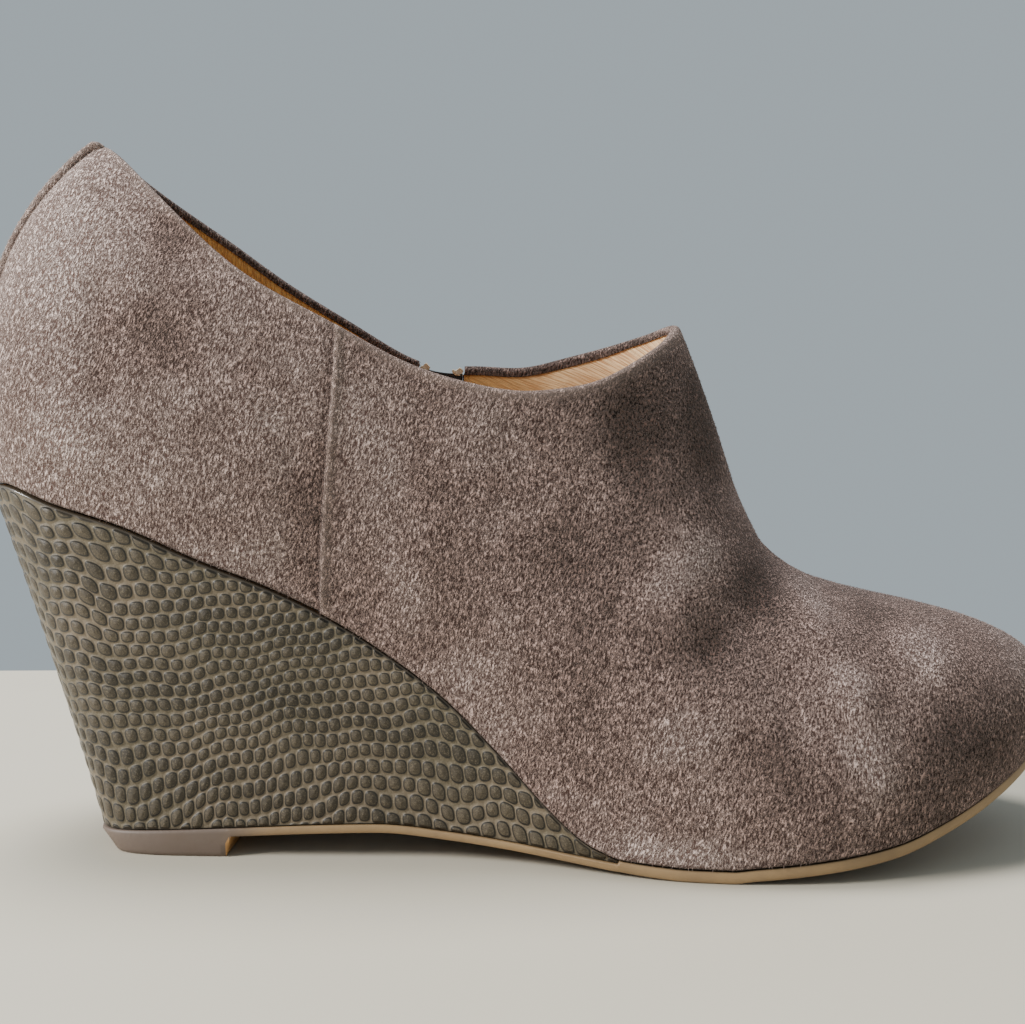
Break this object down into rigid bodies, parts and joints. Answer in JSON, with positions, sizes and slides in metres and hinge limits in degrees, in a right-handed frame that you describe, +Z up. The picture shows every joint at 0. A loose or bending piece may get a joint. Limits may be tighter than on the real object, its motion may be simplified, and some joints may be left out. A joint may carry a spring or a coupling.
{
  "type": "wedge ankle boot",
  "caption": "Low-cut suede wedge ankle boot with an inside zip, a lizard-embossed covered wedge and a thin moulded outsole.",
  "frame": {"origin": "middle of the heel's flat ground face", "axes": "+X toward the toe, +Y toward the inner side of the foot, +Z up"},
  "size_m": [0.2401, 0.0859, 0.1555],
  "materials": {
    "suede": "brushed suede nap",
    "embossed_cover": "semi-gloss lizard embossing",
    "sole_rubber": "satin",
    "insole_cover": "smooth tan lining leather",
    "zip_black": "matt woven tape and moulded chain",
    "zip_metal": "dark nickel"
  },
  "bodies": {
    "boot": {"upper": "suede", "wedge": "embossed_cover", "outsole": "sole_rubber", "insole": "insole_cover", "zip_tape": "zip_black", "zip_slider": "zip_metal"},
    "pull_tab": {"zip_pull": "zip_metal"}
  },
  "joints": [
    {"name": "pull_tab_hinge", "type": "hinge", "parent": "boot", "child": "pull_tab", "pos_m": [0.05479, 0.03217, 0.09552], "axis": [0.9996, -0.0012, -0.0283], "range_deg": [0, 165]}
  ]
}
